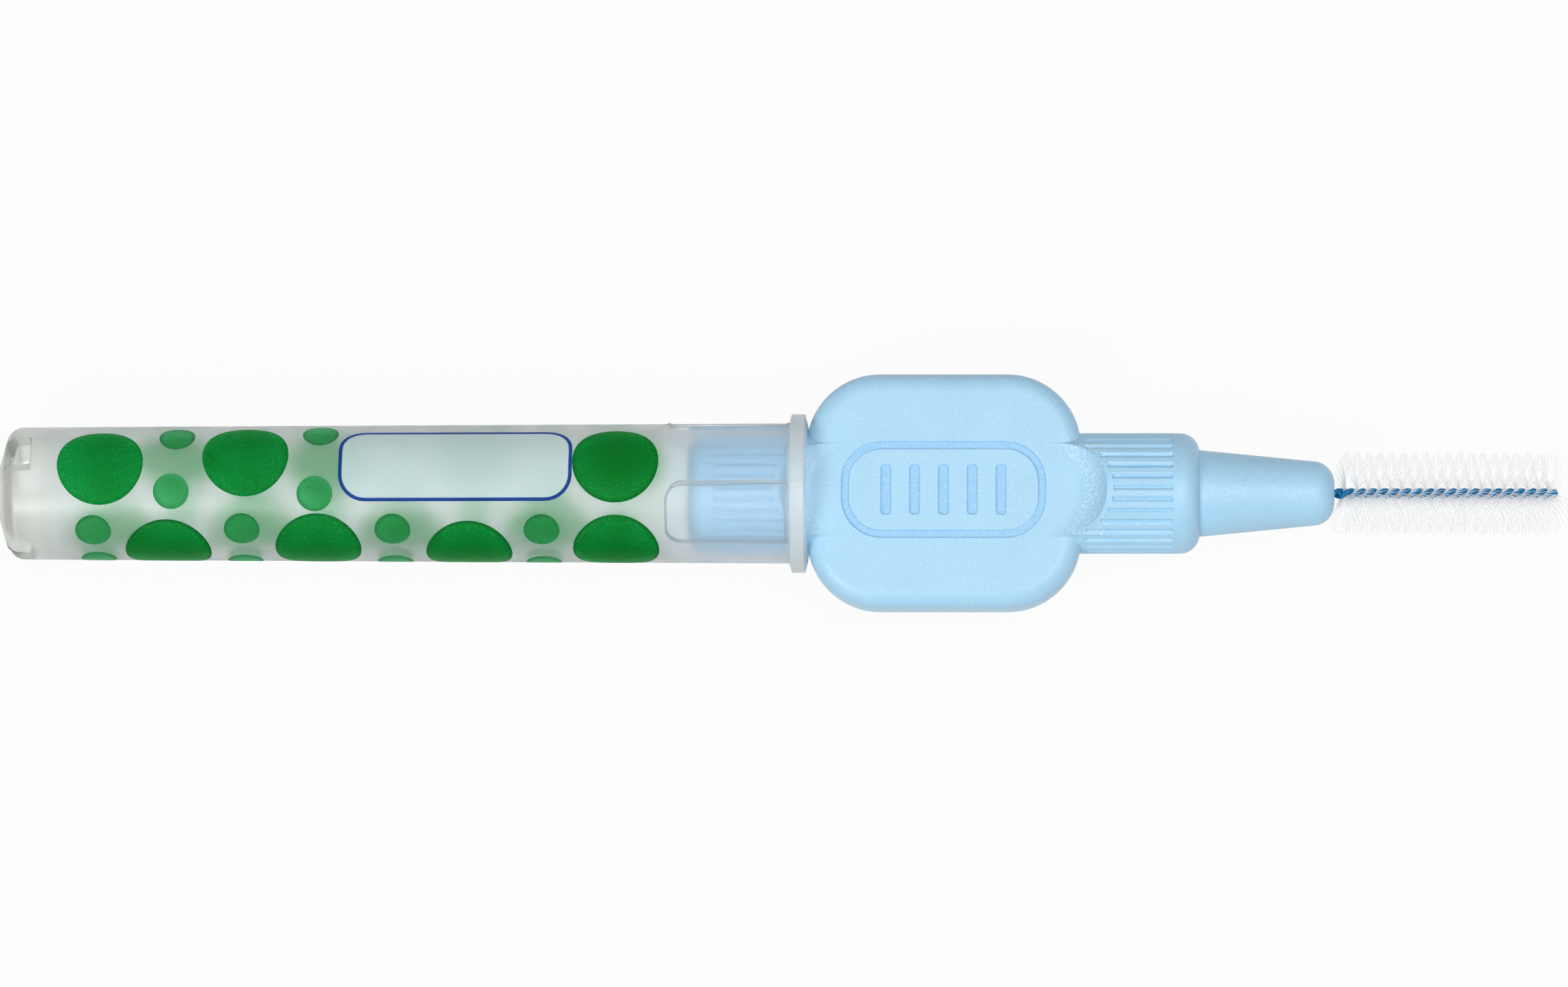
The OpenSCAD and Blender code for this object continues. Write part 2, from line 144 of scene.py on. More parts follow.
class BristleLook(PropertyGroup):
    tint: colour("Tint", "Colour of the nylon", (0.985, 0.99, 0.995))
    thick: length("Thickness", "Diameter of one filament at the wire", 0.055 * mm)
    brush_d: length("Brush diameter", "Diameter over the bristle tips", 4.66 * mm)
    bare_l: length("Bare length", "Bare wire between the nose and the first bristles", 0.46 * mm)
    count: number("Count", "Number of filaments, two bristles each", 524, 100, 2000)
    comb_lean: angle("Combed lean", "Lean forwards above the wire and backwards below it", 16.0)
    tip_lean: angle("Tip lean", "Forward lean that the last bristles above the wire grow to", 28.0)
    heel_lean: angle("Heel lean", "Backward lean that the first bristles below the wire grow to", 26.0)
    tip_fan: angle("Tip fan", "How far the last bristles have turned on ahead of the wire", 40.0)
    leaning: share("Leaning", "Share of the filaments that lean more at either end", 0.08)
    stray: angle("Stray", "How far a bristle strays from its place in the twist", 1.2)
    trim: share("Trim", "Share of its length that trimming takes off a bristle", 0.03)


class CapLook(PropertyGroup):
    tint: colour("Tint", "Colour of the cap's milky plastic", (0.86, 0.905, 0.895))
    closed: colour("Closed end", "Colour of the thick closed end", (0.90, 0.91, 0.87))
    # The flange and mouth wall colours are bluer and paler than the wall. This is a painted glow of the
    # blue handle that shows through them.
    flange: colour("Flange", "Colour of the thick flange", (0.93, 0.99, 1.0))
    mouth_glow: colour("Mouth wall", "Colour of the thinner wall over the rear barrel", (0.90, 0.955, 0.985))
    mouth_l: length("Mouth wall length", "Length of that thinner wall", 7.4 * mm)
    flange_l: length("Flange length", "Length of the flange along the cap", 1.02 * mm)
    tongue_l: length("Tongue length", "Length of a thin panel's outline beside the flange", 6.8 * mm)
    tongue_w: length("Tongue width", "Width of that outline round the cap", 3.6 * mm)
    tongue_r: length("Tongue corner", "Corner radius of that outline", 0.95 * mm)
    tongue_turn: angle("Tongue turn", "Turn of the first outline about the cap", 114.0)
    tongues: number("Tongues", "Number of thin panels round the mouth", 3, 1, 6)
    bead_w: length("Bead width", "Width of the bead that draws the outline", 0.11 * mm)
    bead_h: length("Bead height", "Height of that bead over the wall", 0.05 * mm)


class PrintLook(PropertyGroup):
    dark: colour("Dark green", "Colour of the discs' clear ink", (0.003, 0.44, 0.085))
    grains: colour("Green grains", "Colour of the discs' light grains", (0.02, 0.57, 0.16))
    light: colour("Light green", "Colour of the dots' clear ink", (0.15, 0.65, 0.31))
    blue: colour("Blue", "Colour of the clear ink of the panel's rim", (0.05, 0.14, 0.58))
    pale: colour("Pale", "Colour of the bare panel", (0.81, 0.915, 0.925))
    turn: angle("Turn", "Turn of the whole print about the cap", 0.0)
    disc_d: length("Disc diameter", "Diameter of a dark disc", 4.8 * mm)
    dot_d: length("Dot diameter", "Diameter of a light dot", 2.0 * mm)
    panel_l: length("Panel length", "Length of the bare panel", 13.0 * mm)
    panel_w: length("Panel width", "Width of the bare panel round the cap", 4.6 * mm)
    panel_r: length("Panel corner", "Corner radius of the bare panel", 1.5 * mm)
    rim_w: length("Panel rim", "Width of the panel's rim", 0.2 * mm)
    lift: length("Lift", "How far the ink stands over the cap's wall", 0.006 * mm)
    ink: length("Ink", "Thickness of the ink", 0.012 * mm)


class StageLook(PropertyGroup):
    frame_w: length("Frame width", "Width that the camera sees at the brush's middle", 87.56 * mm)
    lens: FloatProperty(name="Lens", description="Focal length in millimetres", default=200, min=20)
    tilt: angle("Tilt", "Lean of the view from straight above, towards the front", 6.0)
    side: angle("Side", "Lean of the view from straight above, towards the brush", 2.0)


GROUPS = {
    "handle_look": HandleLook,
    "wire_look": WireLook,
    "bristle_look": BristleLook,
    "cap_look": CapLook,
    "print_look": PrintLook,
    "stage_look": StageLook,
}


class Finish:
    """One procedural material: a principled shader, and the nodes that feed it."""

    def __init__(self, name, **sockets):
        self.material = bpy.data.materials.new(name)
        self.material.use_nodes = True
        self.tree = self.material.node_tree
        self.shader = self.tree.nodes["Principled BSDF"]
        self.output = self.tree.nodes["Material Output"]
        for socket, value in sockets.items():
            self.shader.inputs[socket.replace("_", " ")].default_value = value
        self.coords = self.tree.nodes.new("ShaderNodeTexCoord")

    def plug(self, value, socket):
        """Links a node's output to a socket, or sets the socket's own value."""
        if isinstance(value, bpy.types.NodeSocket):
            self.tree.links.new(value, socket)
        elif hasattr(value, "__len__"):
            socket.default_value = (*value, 1.0)[:4]
        else:
            socket.default_value = value

    def node(self, kind, settings=None, **inputs):
        """Adds a node, its inputs plugged in by name."""
        made = self.tree.nodes.new(kind)
        for key, value in (settings or {}).items():
            setattr(made, key, value)
        for key, value in inputs.items():
            self.plug(value, made.inputs[key.replace("_", " ")])
        return made

    def math(self, operation, *values):
        """Works out one number from up to three others."""
        made = self.node("ShaderNodeMath", {"operation": operation})
        for value, socket in zip(values, made.inputs):
            self.plug(value, socket)
        return made.outputs[0]

    def product(self, first, *others):
        """Multiplies numbers, such as masks."""
        for other in others:
            first = self.math("MULTIPLY", first, other)
        return first

    def place(self):
        """The place on the piece, in metres."""
        return self.coords.outputs["Object"]

    def place_along(self, *axes):
        """The place on the piece along each of these axes."""
        parts = self.node("ShaderNodeSeparateXYZ", Vector=self.place()).outputs
        return [parts[axis] for axis in axes]

    def grain(self, size, detail=2.0):
        """Noise whose grains are about this size."""
        noise = self.node("ShaderNodeTexNoise", Vector=self.place(), Scale=1 / size, Detail=detail)
        return noise.outputs["Fac"]

    def span(self, value, low, high, to_low=0.0, to_high=1.0):
        """Maps a value from one range to another, smoothly and clamped."""
        smooth = {"interpolation_type": "SMOOTHSTEP"}
        return self.node("ShaderNodeMapRange", smooth, Value=value, From_Min=low, From_Max=high,
                         To_Min=to_low, To_Max=to_high).outputs[0]

    def blend(self, amount, first, second):
        """Mixes two colours, which are inputs 6 and 7 and output 2 of a Mix node."""
        made = self.node("ShaderNodeMix", {"data_type": "RGBA"})
        for value, place in ((amount, 0), (first, 6), (second, 7)):
            self.plug(value, made.inputs[place])
        return made.outputs[2]

    def bump(self, height, distance, after=None):
        """Raises the surface by a height, over an earlier bump where there is one."""
        made = self.node("ShaderNodeBump", Height=height, Distance=distance)
        if after is not None:
            self.plug(after, made.inputs["Normal"])
        return made.outputs[0]

    def feed(self, socket, value):
        """Gives the shader a value that changes over the surface."""
        self.plug(value, self.shader.inputs[socket])


def scaled(tint, times):
    """A colour with its strength multiplied."""
    return tuple(times * c for c in tint)


def paler(tint, amount):
    """A colour part of the way to white."""
    return tuple(c + amount * (1 - c) for c in tint)


def give(piece, finish):
    """Replaces every material on a piece by one finish."""
    piece.data.materials.clear()
    piece.data.materials.append(finish.material)


def new_piece(name, bm, *finishes):
    """Turns a bmesh into a smooth-shaded piece with these finishes."""
    mesh = bpy.data.meshes.new(name)
    bm.to_mesh(mesh)
    bm.free()
    for finish in finishes:
        mesh.materials.append(finish.material)
    mesh.shade_smooth()
    piece = bpy.data.objects.new(name, mesh)
    bpy.context.scene.collection.objects.link(piece)
    return piece


def handle_finish(look):
    """Satin sky-blue plastic with a fine grain, coarser in the hollows beside the grip. Pale flecks on
    it are painted glints, and its sunk outline has painted shade.
    """
    made = Finish("handle_satin", IOR=1.49, Specular_IOR_Level=0.65)
    x, y, z = made.place_along("X", "Y", "Z")
    along = made.math("ABSOLUTE", made.math("SUBTRACT", x, handle_low.x + look.middle))
    aside = made.math("ABSOLUTE", y)
    height = made.math("ABSOLUTE", z)

    # A hollow lies beyond the flat face at either end, and rises over it.
    soft = 0.25 * mm
    begins = made.span(along, look.hollow_from - soft, look.hollow_from + soft)
    ends = made.span(along, look.hollow_to - soft, look.hollow_to, 1.0, 0.0)
    over_face = made.span(height, look.face_z + 0.01 * mm, look.face_z + 0.06 * mm)
    hollow = made.product(begins, ends, over_face)

    # The outline and the bars are sunk in the face. Painted shade darkens them, standing in for the
    # shade that falls in these grooves.
    beyond = 0.1 * mm
    sunk = made.product(
        made.span(height, look.face_z - 0.12 * mm, look.face_z - 0.03 * mm, 1.0, 0.0),
        made.math("LESS_THAN", along, look.outline_l / 2 + beyond),
        made.math("LESS_THAN", aside, look.outline_w / 2 + beyond))

    cloud = made.span(made.grain(3.5 * mm, 1.0), 0.35, 0.65)
    base = made.blend(cloud, scaled(look.tint, 0.97), look.tint)
    groove_shade = 0.6
    groove_shade_tint = tuple(part * c for part, c in zip((0.62, 0.78, 0.9), look.tint))
    base = made.blend(made.product(sunk, groove_shade), base, groove_shade_tint)

    # Pale flecks all over the handle, and more of them in the hollows, are painted glints. The same
    # grains also bump the surface.
    fine = made.grain(look.grain, 2.0)
    coarse = made.grain(look.stipple, 1.0)
    most_fleck_glints, most_stipple_glints = 0.28, 0.4
    fleck_glints = made.span(fine, 0.5, 0.7, 0.0, most_fleck_glints)
    stipple = made.product(made.span(coarse, 0.52, 0.66), hollow, most_stipple_glints)
    glint_share = made.math("ADD", fleck_glints, stipple)
    made.feed("Base Color", made.blend(glint_share, base, paler(look.tint, 0.6)))
    made.feed("Roughness", made.span(fine, 0.3, 0.7, 0.48, 0.34))
    smallest = made.bump(fine, 0.012 * mm)
    made.feed("Normal", made.bump(made.product(coarse, hollow), 0.05 * mm, after=smallest))
    return made


def wire_finish(look):
    """Smooth blue coating, slightly uneven in its colour and its surface."""
    made = Finish("wire_coat", Roughness=0.3, IOR=1.5, Specular_IOR_Level=0.25)
    shade = made.span(made.grain(0.3 * mm), 0.3, 0.7)
    made.feed("Base Color", made.blend(shade, scaled(look.coat, 0.7), look.coat))
    made.feed("Normal", made.bump(made.grain(0.05 * mm), 0.002 * mm))
    return made


def steel_finish(look):
    """Drawn steel, hidden inside the handle and the coating."""
    made = Finish("bright_steel", Metallic=1.0, Roughness=0.3)
    made.feed("Base Color", made.blend(made.grain(0.1 * mm), scaled(look.steel, 0.85), look.steel))
    return made


def nylon_finish(look):
    """Whitish nylon that looks clearer towards its tips, with painted shade that darkens it near the
    wire.
    """
    made = Finish("clear_nylon", Roughness=0.3, IOR=1.4, Transmission_Weight=0.3)
    y, z = made.place_along("Y", "Z")
    out = made.math("SQRT", made.math("ADD", made.product(y, y), made.product(z, z)))
    # Painted shade: the colour darkens towards the wire, where the bristles crowd, over a random grain.
    near_tip = made.span(out, 0.4 * mm, 1.7 * mm, -0.6, 0.5)
    shade = made.math("ADD", made.grain(0.4 * mm, 1.0), near_tip)
    made.feed("Base Color", made.blend(shade, scaled(look.tint, 0.97), look.tint))
    made.feed("Alpha", made.span(out, 0.35 * mm, 2.1 * mm, 0.95, 0.3))
    return made


def milky_finish(look):
    """Milky plastic: a rough see-through wall, cloudier in its thick ends, with a painted blue glow of
    the handle at its mouth and flange.
    """
    made = Finish("milky_plastic", IOR=1.5)
    along, = made.place_along("X")
    closed = made.span(along, cap_low.x + 0.6 * mm, cap_low.x + 4 * mm, 1.0, 0.0)
    mouth_glow = made.span(along, cap_high.x - look.mouth_l - 1 * mm, cap_high.x - look.mouth_l)
    flange = made.span(along, cap_high.x - look.flange_l - 0.1 * mm, cap_high.x - look.flange_l)

    cloud = made.span(made.grain(3 * mm, 2.0), 0.35, 0.65)
    wall = made.blend(cloud, scaled(look.tint, 0.96), look.tint)
    # The blue in the flange and the mouth wall is a painted glow of the blue handle behind them.
    for amount, tint in ((closed, look.closed), (mouth_glow, look.mouth_glow), (flange, look.flange)):
        wall = made.blend(amount, wall, tint)
    made.feed("Base Color", wall)

    wall_clear, less_at_end, less_at_flange = 0.93, 0.05, 0.35
    clear = made.math("SUBTRACT", wall_clear, made.product(closed, less_at_end))
    clear = made.math("SUBTRACT", clear, made.product(flange, less_at_flange))
    made.feed("Transmission Weight", clear)
    made.feed("Roughness", made.span(made.grain(1.5 * mm, 2.0), 0.3, 0.7, 0.28, 0.38))
    return made


def ink_finish(name, tint, grain_tint, pull, clear):
    """Printed ink that lets a share of the light through, with grains of a second colour.

    A pull above 0 gathers the grains at a motif's edge, and one below 0 keeps them from it.
    """
    made = Finish(name, Roughness=0.5, IOR=1.15, Transmission_Weight=clear)
    to_edge = made.node("ShaderNodeAttribute", {"attribute_name": "edge_share"}).outputs["Fac"]
    grains = made.grain(0.12 * mm, 2.0)
    mask = made.span(made.math("ADD", grains, made.product(to_edge, pull)), 0.6, 0.72)
    made.feed("Base Color", made.blend(mask, tint, grain_tint))
    made.feed("Normal", made.bump(grains, 0.006 * mm))
    return made


def across(turn):
    """Unit vector square to the brush's axis."""
    return Vector((0, cos(turn), sin(turn)))


class Twist:
    """The left-handed twist of the wire's two legs, which goes on through the bend."""

    def __init__(self, look):
        self.leg_r = (look.leg_gap + look.coated_d) / 2
        self.coated_r = look.coated_d / 2
        self.pitch = look.pitch
        self.on_top_x = nose_x + look.on_top
        self.bend_x = wire_high.x - self.leg_r - self.coated_r

    def turn(self, x):
        """Angle of the first leg at a place along the brush."""
        return pi / 2 - 2 * pi * (x - self.on_top_x) / self.pitch

    def place(self, x, out):
        """A point this far out from the axis, on the first leg's side."""
        return Vector((x, 0, 0)) + out * across(self.turn(x))

    def path(self, start_x, rings_per_turn=28, bend_rings=14):
        """Points down one leg, round the bend and back up the other."""
        count = ceil((self.bend_x - start_x) / self.pitch * rings_per_turn)
        xs = [start_x + (self.bend_x - start_x) * i / count for i in range(count + 1)]
        there = [self.place(x, self.leg_r) for x in xs]
        bend = [self.place(self.bend_x + self.leg_r * sin(t), self.leg_r * cos(t))
                for t in (pi * j / bend_rings for j in range(1, bend_rings))]
        back = [self.place(x, -self.leg_r) for x in reversed(xs)]
        return there + bend + back


def way_at(path, i):
    """Direction of a path at one of its points."""
    return (path[min(i + 1, len(path) - 1)] - path[max(i - 1, 0)]).normalized()


def sweep_tube(bm, path, radius, sides=12):
    """Extrudes a circle along a path, one operator step for each point."""
    spin = way_at(path, 0).to_track_quat("Z", "Y")
    was = Matrix.Translation(path[0]) @ spin.to_matrix().to_4x4()
    ring = bmesh.ops.create_circle(bm, cap_ends=True, segments=sides, radius=radius,
                                   matrix=was)["verts"]
    edges = {e for v in ring for e in v.link_edges}
    for i in range(1, len(path)):
        spin = way_at(path, i - 1).rotation_difference(way_at(path, i)) @ spin
        now = Matrix.Translation(path[i]) @ spin.to_matrix().to_4x4()
        made = bmesh.ops.extrude_edge_only(bm, edges=list(edges))["geom"]
        ring = [g for g in made if isinstance(g, bmesh.types.BMVert)]
        edges = {g for g in made if isinstance(g, bmesh.types.BMEdge)}
        bmesh.ops.transform(bm, matrix=now @ was.inverted(), verts=ring)
        was = now
    bmesh.ops.contextual_create(bm, geom=list(edges))
    bmesh.ops.recalc_face_normals(bm, faces=bm.faces)


def bristle(bm, root, tip, thick, taper=0.6):
    """One tapering bristle from its clamped root to its tip."""
    way = tip - root
    spin = way.to_track_quat("Z", "Y").to_matrix().to_4x4()
    bmesh.ops.create_cone(bm, cap_ends=True, cap_tris=True, segments=5, radius1=thick / 2,
                          radius2=taper * thick / 2, depth=way.length,
                          matrix=Matrix.Translation((root + tip) / 2) @ spin)


def lean_of(turn, heel, tip, look):
    """Lean of one bristle, by the side that it is on and how near it is to the heel or the tip."""
    above = sin(turn)
    more_at_tip = (look.tip_lean - look.comb_lean) * tip * max(0.0, above)
    more_at_heel = (look.heel_lean - look.comb_lean) * heel * max(0.0, -above)
    return look.comb_lean * above + more_at_tip - more_at_heel


def shrink_in(bm, shares):
    """Grows rings of faces inwards from a flat outline, each at a share of its size.

    The last ring is closed with faces that meet in the middle.
    """
    edges = bm.edges[:]
    was = 1.0
    for now in shares:
        made = bmesh.ops.extrude_edge_only(bm, edges=edges)["geom"]
        verts = [g for g in made if isinstance(g, bmesh.types.BMVert)]
        edges = [g for g in made if isinstance(g, bmesh.types.BMEdge)]
        bmesh.ops.scale(bm, verts=verts, vec=(now / was, now / was, 1))
        was = now
    middle = bmesh.ops.contextual_create(bm, geom=edges)["faces"]
    bmesh.ops.poke(bm, faces=middle)


def flat_disc(diameter, rings, segments):
    """A flat disc. Each point keeps its share of the way to the edge."""
    bm = bmesh.new()
    store = bm.verts.layers.float.new("edge_share")
    bmesh.ops.create_circle(bm, segments=segments, radius=diameter / 2)
    shrink_in(bm, [i / rings for i in range(rings - 1, 0, -1)])
    for v in bm.verts:
        v[store] = 2 * v.co.xy.length / diameter
    return bm


def round_plate(bm, long, wide, corner_r, rim_w, square_end=False):
    """Makes a flat plate with round corners, and insets its rim, whose faces it gives back."""
    bmesh.ops.create_grid(bm, x_segments=1, y_segments=1, size=0.5)
    bmesh.ops.scale(bm, verts=bm.verts, vec=(long, wide, 1))
    corners = [v for v in bm.verts if v.co.x < 0 or not square_end]
    bmesh.ops.bevel(bm, geom=corners, offset=corner_r, offset_type="OFFSET", segments=8,
                    affect="VERTICES", profile=0.5, material=-1)
    return bmesh.ops.inset_region(bm, faces=bm.faces, thickness=rim_w, use_boundary=True,
                                  use_even_offset=True)["faces"]


def cut_in_strips(bm, width, strips=16):
    """Cuts a flat shape along the cap, so that it can bend round it."""
    for i in range(1, strips):
        geom = bm.verts[:] + bm.edges[:] + bm.faces[:]
        place = (0, width * (i / strips - 0.5), 0)
        bmesh.ops.bisect_plane(bm, geom=geom, plane_co=place, plane_no=(0, 1, 0))


def flat_outline(look):
    """The flat outline of a tongue, round at its free end."""
    bm = bmesh.new()
    rim = round_plate(bm, look.tongue_l, look.tongue_w, look.tongue_r, look.bead_w, square_end=True)
    bmesh.ops.delete(bm, geom=list(set(bm.faces) - set(rim)), context="FACES")
    cut_in_strips(bm, look.tongue_w)
    return bm


def flat_panel(look):
    """A flat rounded panel. Its rim takes the second finish."""
    bm = bmesh.new()
    bm.verts.layers.float.new("edge_share")
    for face in round_plate(bm, look.panel_l, look.panel_w, look.panel_r, look.rim_w):
        face.material_index = 1
    cut_in_strips(bm, look.panel_w)
    return bm


def add_to(whole, part):
    """Moves one bmesh into another."""
    mesh = bpy.data.meshes.new("part")
    part.to_mesh(mesh)
    part.free()
    whole.from_mesh(mesh)
    bpy.data.meshes.remove(mesh)


def cap_wall():
    """The cap's surface, for laying the print on it."""
    bm = bmesh.new()
    bm.from_mesh(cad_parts["cap"].data)
    wall = BVHTree.FromBMesh(bm)
    bm.free()
    return wall


def wall_radius(wall, x, tries=48):
    """The cap's largest radius at a place along it, so that nothing laid on it sinks in."""
    outside = 10 * mm
    ways = [across(2 * pi * i / tries) for i in range(tries)]
    hits = [wall.ray_cast(Vector((x, 0, 0)) + outside * way, -way)[0] for way in ways]
    return max(hit.yz.length for hit in hits if hit)


def lay_on_cap(bm, wall, x, turn, lift, thick):
    """Wraps a flat shape round the cap at a place along it and a turn about it.

    Its underside stands over the wall by the lift.
    """
    reach = max(abs(v.co.x) for v in bm.verts)
    low_r, high_r = wall_radius(wall, x - reach), wall_radius(wall, x + reach)
    for v in bm.verts:
        share_along = (v.co.x + reach) / (2 * reach)
        radius = low_r + (high_r - low_r) * share_along + lift + thick
        v.co = Vector((x + v.co.x, 0, 0)) + radius * across(turn - v.co.y / radius)
    bmesh.ops.recalc_face_normals(bm, faces=bm.faces)
    outward = sum(f.normal.dot(Vector((0, *f.calc_center_median().yz))) for f in bm.faces)
    if outward < 0:
        bmesh.ops.reverse_faces(bm, faces=bm.faces)
    bmesh.ops.solidify(bm, geom=bm.faces, thickness=thick)


SENSOR_W = 36.0
FLOOR_TINT = (0.62, 0.63, 0.64)
FLOOR_SIZE = 2.0
FLOOR_WHITE = 0.95
WORLD_LIGHT = 0.30
# Lamps: place and side in metres, and power in watts.
LAMPS = {
    "key": ((-0.14, -0.15, 0.27), 0.12, 0.45),
    "top": ((0.11, 0.0, 0.34), 0.22, 0.53),
}


def set_camera(context, look):
    """Looks at the brush from above, with the leans of the view that the user sets."""
    middle = Vector((0.05 * mm, 0, 0))
    distance = look.frame_w * look.lens / SENSOR_W
    back = Vector((tan(look.side), -tan(look.tilt), 1)).normalized()
    up = back.cross(AXIS).normalized()
    turn = Matrix((up.cross(back), up, back)).transposed().to_4x4()
    data = bpy.data.cameras.new("camera")
    data.lens = look.lens
    data.sensor_width = SENSOR_W
    data.clip_start, data.clip_end = 0.01, 10
    camera = bpy.data.objects.new("camera", data)
    camera.matrix_world = Matrix.Translation(middle + distance * back) @ turn
    context.scene.collection.objects.link(camera)
    context.scene.camera = camera


def seen_rays(tree):
    """1 for camera, glossy and transmitted rays, and 0 for the rays that light the object."""
    rays = tree.nodes.new("ShaderNodeLightPath").outputs
    total = rays["Is Camera Ray"]
    for name in ("Is Glossy Ray", "Is Transmission Ray"):
        join = tree.nodes.new("ShaderNodeMath")
        join.operation = "MAXIMUM"
        tree.links.new(total, join.inputs[0])
        tree.links.new(rays[name], join.inputs[1])
        total = join.outputs[0]
    return total


def mix_shaders(tree, amount, first, second, output):
    """Mixes two shaders into an output's surface."""
    pick = tree.nodes.new("ShaderNodeMixShader")
    for socket, value in zip(pick.inputs, (amount, first.outputs[0], second.outputs[0])):
        tree.links.new(value, socket)
    tree.links.new(pick.outputs[0], output.inputs["Surface"])


def floor_finish():
    """A pale floor that keeps a faint shadow and otherwise reads as white."""
    made = Finish("floor_white", Roughness=0.9)
    made.feed("Base Color", made.blend(made.grain(30 * mm), FLOOR_TINT, scaled(FLOOR_TINT, 0.99)))
    white = made.node("ShaderNodeEmission", Color=WHITE)
    amount = made.product(seen_rays(made.tree), FLOOR_WHITE)
    mix_shaders(made.tree, amount, made.shader, white, made.output)
    return made


def set_world(context):
    """A white background, with a weaker even light for the object."""
    world = context.scene.world or bpy.data.worlds.new("studio")
    context.scene.world = world
    world.use_nodes = True
    tree = world.node_tree
    tree.nodes.clear()
    skies = []
    for strength in (WORLD_LIGHT, 1.0):
        sky = tree.nodes.new("ShaderNodeBackground")
        sky.inputs["Color"].default_value = WHITE
        sky.inputs["Strength"].default_value = strength
        skies.append(sky)
    mix_shaders(tree, seen_rays(tree), *skies, tree.nodes.new("ShaderNodeOutputWorld"))


def soft_box(context, name, place, side, power):
    """A large square lamp that looks at the brush's middle."""
    data = bpy.data.lights.new(name, "AREA")
    data.shape = "SQUARE"
    data.size = side
    data.energy = power
    lamp = bpy.data.objects.new(name, data)
    lamp.location = place
    lamp.rotation_euler = Vector(place).to_track_quat("Z", "Y").to_euler()
    context.scene.collection.objects.link(lamp)


class INTERDENTAL_OT_stage(Operator):
    """Sets the camera, the pale floor and the soft studio light"""
    bl_idname = "interdental.stage"
    bl_label = "Stage"

    def execute(self, context):
        set_camera(context, context.scene.stage_look)
        bm = bmesh.new()
        bmesh.ops.create_grid(bm, x_segments=1, y_segments=1, size=FLOOR_SIZE)
        bmesh.ops.translate(bm, verts=bm.verts, vec=(0, 0, cad_box[0][2]))
        new_piece("floor", bm, floor_finish())
        set_world(context)
        for name, (place, side, power) in LAMPS.items():
            soft_box(context, name, place, side, power)
        context.scene.view_settings.view_transform = "Standard"
        return {"FINISHED"}


class INTERDENTAL_OT_handle(Operator):
    """Finishes the handle and the steel wire inside it"""
    bl_idname = "interdental.handle"
    bl_label = "Handle"

    def execute(self, context):
        give(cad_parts["handle"], handle_finish(context.scene.handle_look))
        give(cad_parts["core_wire"], steel_finish(context.scene.wire_look))
        return {"FINISHED"}


class INTERDENTAL_OT_wire(Operator):
    """Makes the coated wire: one round tube, twisted on itself and bent back at its tip"""
    bl_idname = "interdental.wire"
    bl_label = "Coated wire"

    def execute(self, context):
        look = context.scene.wire_look
        twist = Twist(look)
        bm = bmesh.new()
        sweep_tube(bm, twist.path(wire_low.x + twist.coated_r), twist.coated_r)
        wire = new_piece("coated_wire", bm, wire_finish(look))
        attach(wire, "brush")
        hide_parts("wire_coating")
        return {"FINISHED"}


class INTERDENTAL_OT_bristles(Operator):
    """Makes the bristles that the twisted wire clamps"""
    bl_idname = "interdental.bristles"
    bl_label = "Bristles"

    def execute(self, context):
        look = context.scene.bristle_look
        twist = Twist(context.scene.wire_look)
        draw = random.Random(7)
        spread = 0.2
        bm = bmesh.new()
        from_x = nose_x + look.bare_l
        step = (twist.bend_x - from_x) / look.count
        ends = look.leaning * look.count
        for i in range(look.count):
            x = from_x + (i + 0.5 + draw.uniform(-spread, spread)) * step
            heel = max(0.0, 1 - i / ends)
            tip = max(0.0, 1 - (look.count - 1 - i) / ends)
            clamped = twist.turn(x) + pi / 2 - look.tip_fan * tip ** 2
            for side in (0, pi):
                turn = clamped + side + draw.gauss(0, 0.5) * look.stray
                lean = lean_of(turn, heel, tip, look) + draw.gauss(0, 0.5) * look.stray
                reach = look.brush_d / 2 * (1 - look.trim * draw.random())
                root = Vector((x, 0, 0))
                bristle(bm, root, root + reach * (across(turn) + tan(lean) * AXIS), look.thick)
        bristles = new_piece("bristles", bm, nylon_finish(look))
        # Nylon so thin hardly shades what lies under it.
        bristles.visible_shadow = False
        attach(bristles, "brush")
        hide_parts("filaments")
        return {"FINISHED"}


class INTERDENTAL_OT_cap(Operator):
    """Finishes the milky cap and adds the fine beads that outline its thin panels"""
    bl_idname = "interdental.cap"
    bl_label = "Cap"

    def execute(self, context):
        look = context.scene.cap_look
        milky = milky_finish(look)
        give(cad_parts["cap"], milky)
        wall = cap_wall()
        gap, sunk = 0.03 * mm, 0.02 * mm
        middle_x = cap_high.x - look.flange_l - gap - look.tongue_l / 2
        whole = bmesh.new()
        for i in range(look.tongues):
            outline = flat_outline(look)
            turn = look.tongue_turn + 2 * pi * i / look.tongues
            lay_on_cap(outline, wall, middle_x, turn, -sunk, look.bead_h + sunk)
            add_to(whole, outline)
        beads = new_piece("cap_beads", whole, milky)
        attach(beads, "cap")
        return {"FINISHED"}


# Places of the print in a row along the cap: millimetres from its closed end, then degrees about it.
PANEL_ROW = {
    "discs": ((5.9, 3), (14.0, -4), (34.6, 2)),
    "dots": ((9.9, 28), (10.1, -26), (17.9, 30), (18.1, -30)),
    "panels": ((25.7, 2),),
}
DISC_ROW = {
    "discs": ((9.6, 3), (18.0, -3), (26.4, 3), (34.6, -3)),
    "dots": ((5.6, 20), (5.5, -22), (13.8, 24), (13.8, -24),
             (22.2, 24), (22.2, -24), (30.5, 24), (30.5, -24)),
    "panels": (),
}
FAR_ROW = {
    "discs": ((5.9, -3), (13.8, 3), (22.2, -3), (30.4, 3)),
    "dots": ((9.8, 24), (9.8, -24), (18.0, 24), (18.0, -24),
             (26.3, 24), (26.3, -24), (34.5, 10), (34.7, -24)),
    "panels": (),
}
